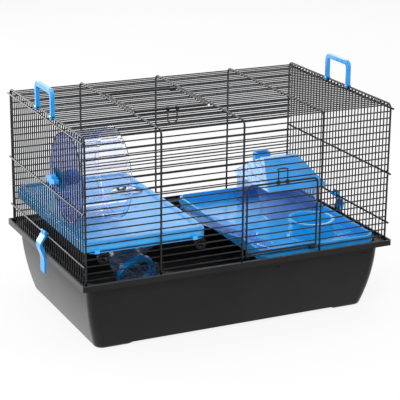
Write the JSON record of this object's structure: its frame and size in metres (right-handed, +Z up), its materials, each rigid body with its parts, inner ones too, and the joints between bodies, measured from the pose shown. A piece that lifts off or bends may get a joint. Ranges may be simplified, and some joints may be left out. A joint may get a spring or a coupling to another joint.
{
  "type": "hamster cage",
  "caption": "Wire hamster cage on a deep tub, with two doors, carry handles, clips, shelves, ramp, tube slide, wheel, house and bowl.",
  "frame": {"origin": "centre of the footprint, on the floor under the feet", "axes": "+X along the long side, towards the end with the house; -Y is the front with the door; +Z up"},
  "size_m": [0.5174, 0.334, 0.362],
  "materials": {
    "tub": "satin near-black moulded plastic",
    "wire": "semi-gloss black coating",
    "blue": "glossy sky-blue moulded plastic",
    "clear_lilac": "see-through lilac moulded plastic",
    "grommet": "black moulded plastic"
  },
  "bodies": {
    "cage": {"base_tub": "tub", "cage_hoops": "wire", "front_bars_upper": "wire", "front_bars_left": "wire", "front_bars_right": "wire", "back_bars": "wire", "top_bars_front": "wire", "top_bars_back": "wire", "top_bars_left": "wire", "top_bars_right": "wire", "left_end_bars": "wire", "right_end_bars": "wire", "left_end_rails": "wire", "right_end_rails": "wire", "left_shelf": "blue", "shelf_rings": "grommet", "chute_tube": "clear_lilac", "chute_collar": "blue", "chute_slide": "clear_lilac", "right_shelf": "blue", "ramp": "clear_lilac", "ramp_rungs": "clear_lilac", "wheel_axle": "blue", "house_walls": "clear_lilac"},
    "wheel": {"wheel_disc": "clear_lilac", "wheel_drum": "clear_lilac", "wheel_hub": "blue", "wheel_rungs": "clear_lilac"},
    "front_door": {"front_door_frame": "wire", "front_door_bars": "wire"},
    "front_latch": {"front_door_latch": "wire"},
    "top_door": {"top_door_frame": "wire", "top_door_bars": "wire"},
    "top_latch": {"top_door_latch": "wire"},
    "left_carry_handle": {"left_handle": "blue"},
    "right_carry_handle": {"right_handle": "blue"},
    "left_base_clip": {"left_clip": "blue"},
    "right_base_clip": {"right_clip": "blue"},
    "wheel_lock_knob": {"wheel_knob": "blue"},
    "house_lid": {"house_roof": "blue", "house_chimney": "blue"},
    "bowl": {"food_bowl": "blue"}
  },
  "joints": [
    {"name": "wheel_spin", "type": "hinge", "parent": "cage", "child": "wheel", "pos_m": [-0.2, -0.05093, 0.236], "axis": [1, 0, 0], "continuous": true},
    {"name": "front_door_swing", "type": "hinge", "parent": "cage", "child": "front_door", "pos_m": [0.0645, -0.15498, 0.115], "axis": [1, 0, 0], "range_deg": [0, 85]},
    {"name": "front_latch_turn", "type": "hinge", "parent": "front_door", "child": "front_latch", "pos_m": [0.0645, -0.1575, 0.22315], "axis": [1, 0, 0], "range_deg": [0, 90]},
    {"name": "top_door_swing", "type": "hinge", "parent": "cage", "child": "top_door", "pos_m": [-0.0645, 0.06695, 0.31948], "axis": [-1, 0, 0], "range_deg": [0, 100]},
    {"name": "top_latch_turn", "type": "hinge", "parent": "top_door", "child": "top_latch", "pos_m": [-0.0645, -0.0515, 0.322], "axis": [-1, 0, 0], "range_deg": [-30, 30]},
    {"name": "left_handle_fold", "type": "hinge", "parent": "cage", "child": "left_carry_handle", "pos_m": [-0.243, 0, 0.322], "axis": [0, 1, 0], "range_deg": [0, 85]},
    {"name": "right_handle_fold", "type": "hinge", "parent": "cage", "child": "right_carry_handle", "pos_m": [0.243, 0, 0.322], "axis": [0, -1, 0], "range_deg": [0, 85]},
    {"name": "left_clip_open", "type": "hinge", "parent": "cage", "child": "left_base_clip", "pos_m": [-0.24602, 0, 0.137], "axis": [0, 1, 0], "range_deg": [0, 90]},
    {"name": "right_clip_open", "type": "hinge", "parent": "cage", "child": "right_base_clip", "pos_m": [0.24602, 0, 0.137], "axis": [0, -1, 0], "range_deg": [0, 90]},
    {"name": "wheel_knob_turn", "type": "hinge", "parent": "cage", "child": "wheel_lock_knob", "pos_m": [-0.25, -0.05093, 0.236], "axis": [1, 0, 0], "range_deg": [0, 90]},
    {"name": "house_lid_lift", "type": "slide", "parent": "cage", "child": "house_lid", "axis": [0, 0, 1], "range_m": [0, 0.06]},
    {"name": "bowl_lift", "type": "slide", "parent": "cage", "child": "bowl", "axis": [0, 0, 1], "range_m": [0, 0.06]}
  ]
}
